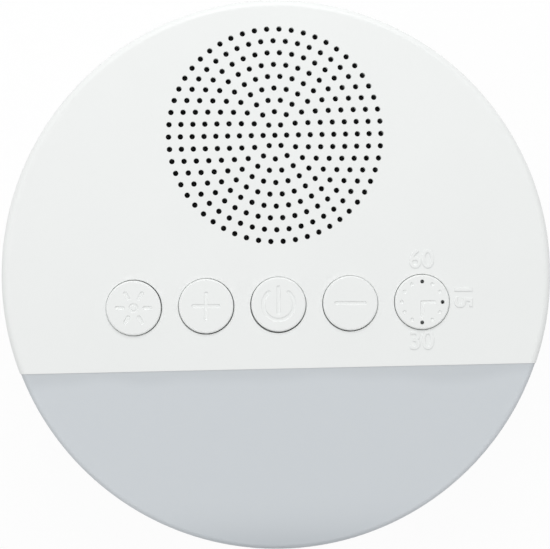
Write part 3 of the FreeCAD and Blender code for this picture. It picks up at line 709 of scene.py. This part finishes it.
# Raised minute numbers round the timer button
numbers = {
    "height": 3.7, "heightShare": 0.72, "rise": 0.22, "edge": 0.08,  # a figure fills 0.72 of the font's size
    "places": [("60", 28.87, 2.45, -1.15), ("30", 28.58, -13.85, -1.15), ("15", 36.95, -4.95, -91.15)],
}


def raisedNumber(text, x, y, turnDegrees):
    curve = bpy.data.curves.new("number" + text, "FONT")
    curve.body = text
    curve.size = numbers["height"] / numbers["heightShare"]
    curve.extrude = numbers["rise"] / 2
    curve.bevel_depth = numbers["edge"]
    curve.align_x, curve.align_y = "CENTER", "CENTER"
    holder = bpy.data.objects.new("number" + text, curve)
    bpy.context.scene.collection.objects.link(holder)
    bpy.context.view_layer.update()
    mesh = bpy.data.meshes.new_from_object(holder.evaluated_get(bpy.context.evaluated_depsgraph_get()))
    bpy.data.objects.remove(holder)
    turn = Matrix.Rotation(math.radians(turnDegrees), 4, "Z")
    mesh.transform(Matrix.Translation((x, y, case["faceHeight"])) @ turn)
    obj = bpy.data.objects.new("raisedNumber" + text, mesh)
    bpy.context.scene.collection.objects.link(obj)
    finishPiece(obj, "case", "white_abs")


for text, x, y, turnDegrees in numbers["places"]:
    raisedNumber(text, x, y, turnDegrees)

# Rubber feet with eased rims
foot = {
    "top": 2.3, "edge": 0.6, "edgeSteps": 4, "segments": 48,
    "dish": 0.25, "dishInset": 2.2, "rimInset": 1.6,  # the hollow under each foot
}


def rubberFeet():
    bm = bmesh.new()
    radius, top, dish = housing["footRadius"], foot["top"], foot["dish"]
    outline = [
        (0, dish), (radius - foot["dishInset"], dish), (radius - foot["rimInset"], 0),
        (radius, 0), (radius, top), (0, top),
    ]
    for x, y in footPlaces:
        part = spun(outline, foot["segments"])
        roundEdges(part, ringEdges(part, radius, 0), foot["edge"], foot["edgeSteps"])
        bmesh.ops.translate(part, vec=(x, y, 0), verts=part.verts)
        joinInto(bm, part)
    finishPiece(loosePiece("rubberFeet", bm), "case", "grey_rubber", ["rubber_feet"])


rubberFeet()

# Stage: a pale floor that reads white to the camera and still takes the shadow
stage = {"size": 6.0, "colour": "#F4F4F4", "roughness": 0.9, "whiteShare": 0.93}
white = hexColour("#FFFFFF")


def backgroundRays(tree):  # 1 for the rays that show the background: seen, mirrored or refracted
    path = addNode(tree, "ShaderNodeLightPath").outputs
    largest = {"operation": "MAXIMUM"}
    seen = addNode(tree, "ShaderNodeMath", largest, in0=path["Is Camera Ray"], in1=path["Is Glossy Ray"])
    shown = addNode(tree, "ShaderNodeMath", largest, in0=seen.outputs[0], in1=path["Is Transmission Ray"])
    return shown.outputs[0]


def paleFloor():
    material, tree, shader = startMaterial("paleFloor", stage["colour"], stage["roughness"])[:3]
    glow = addNode(tree, "ShaderNodeEmission", {"Strength": 1.0, "Color": white})
    share = addNode(
        tree, "ShaderNodeMath", {"operation": "MULTIPLY", 1: stage["whiteShare"]}, in0=backgroundRays(tree),
    )
    mix = addNode(
        tree, "ShaderNodeMixShader", in0=share.outputs[0], in1=shader.outputs[0], in2=glow.outputs[0],
    )
    tree.links.new(mix.outputs[0], tree.nodes["Material Output"].inputs["Surface"])
    bm = bmesh.new()
    bmesh.ops.create_grid(bm, x_segments=1, y_segments=1, size=stage["size"] / 2)
    floor = loosePiece("floor", bm)
    floor.data.materials.append(material)


paleFloor()

# Light: an even room with a soft box beyond the top of the face
lights = {
    "world": 0.60,  # the room's light on the case; the background itself is shown white
    "topBox": {"place": (0.0, 0.40, 0.46), "size": 0.4, "watts": 1.55},
    "fillBox": {"place": (-0.7, -0.3, 1.2), "size": 1.2, "watts": 2.4},
}


def softBox(name, look):
    lamp = bpy.data.lights.new(name, "AREA")
    lamp.shape = "SQUARE"
    lamp.size = look["size"]
    lamp.energy = look["watts"]
    holder = bpy.data.objects.new(name, lamp)
    holder.location = look["place"]
    holder.rotation_euler = (-Vector(look["place"])).to_track_quat("-Z", "Y").to_euler()
    bpy.context.scene.collection.objects.link(holder)


def evenRoom():
    world = bpy.data.worlds.new("room")
    world.use_nodes = True
    tree = world.node_tree
    background = tree.nodes["Background"]
    background.inputs["Color"].default_value = white
    level = addNode(
        tree, "ShaderNodeMapRange", {"To Min": lights["world"], "To Max": 1.0}, Value=backgroundRays(tree),
    )
    tree.links.new(level.outputs["Result"], background.inputs["Strength"])
    bpy.context.scene.world = world


softBox("topBox", lights["topBox"])
softBox("fillBox", lights["fillBox"])
evenRoom()
print("stage and lights made")

# Camera: nearly square on to the face, a little from the left, rolled a degree
view = {
    "distance": 500.0, "yawDegrees": 2.94, "rollDegrees": 1.15, "planeZ": 42.6, "frameMm": 110.14,
    "shiftX": -0.00437, "shiftY": 0.00073, "sensorMm": 36.0, "clipStartMm": 10.0,
}


def faceCamera():
    camera = bpy.data.cameras.new("camera")
    camera.sensor_fit = "HORIZONTAL"
    camera.sensor_width = view["sensorMm"]
    camera.lens = view["sensorMm"] * view["distance"] / view["frameMm"]
    camera.shift_x = view["shiftX"]
    camera.shift_y = view["shiftY"]
    camera.clip_start = view["clipStartMm"] / mmPerMetre
    holder = bpy.data.objects.new("camera", camera)
    yaw = Matrix.Rotation(math.radians(-view["yawDegrees"]), 4, "Y")
    roll = Matrix.Rotation(math.radians(-view["rollDegrees"]), 4, "Z")
    back = Matrix.Translation((0, 0, view["distance"] / mmPerMetre))
    holder.matrix_world = Matrix.Translation((0, 0, view["planeZ"] / mmPerMetre)) @ yaw @ roll @ back
    bpy.context.scene.collection.objects.link(holder)
    bpy.context.scene.camera = holder


faceCamera()
bpy.context.scene.view_settings.view_transform = "Standard"

print("scene done")
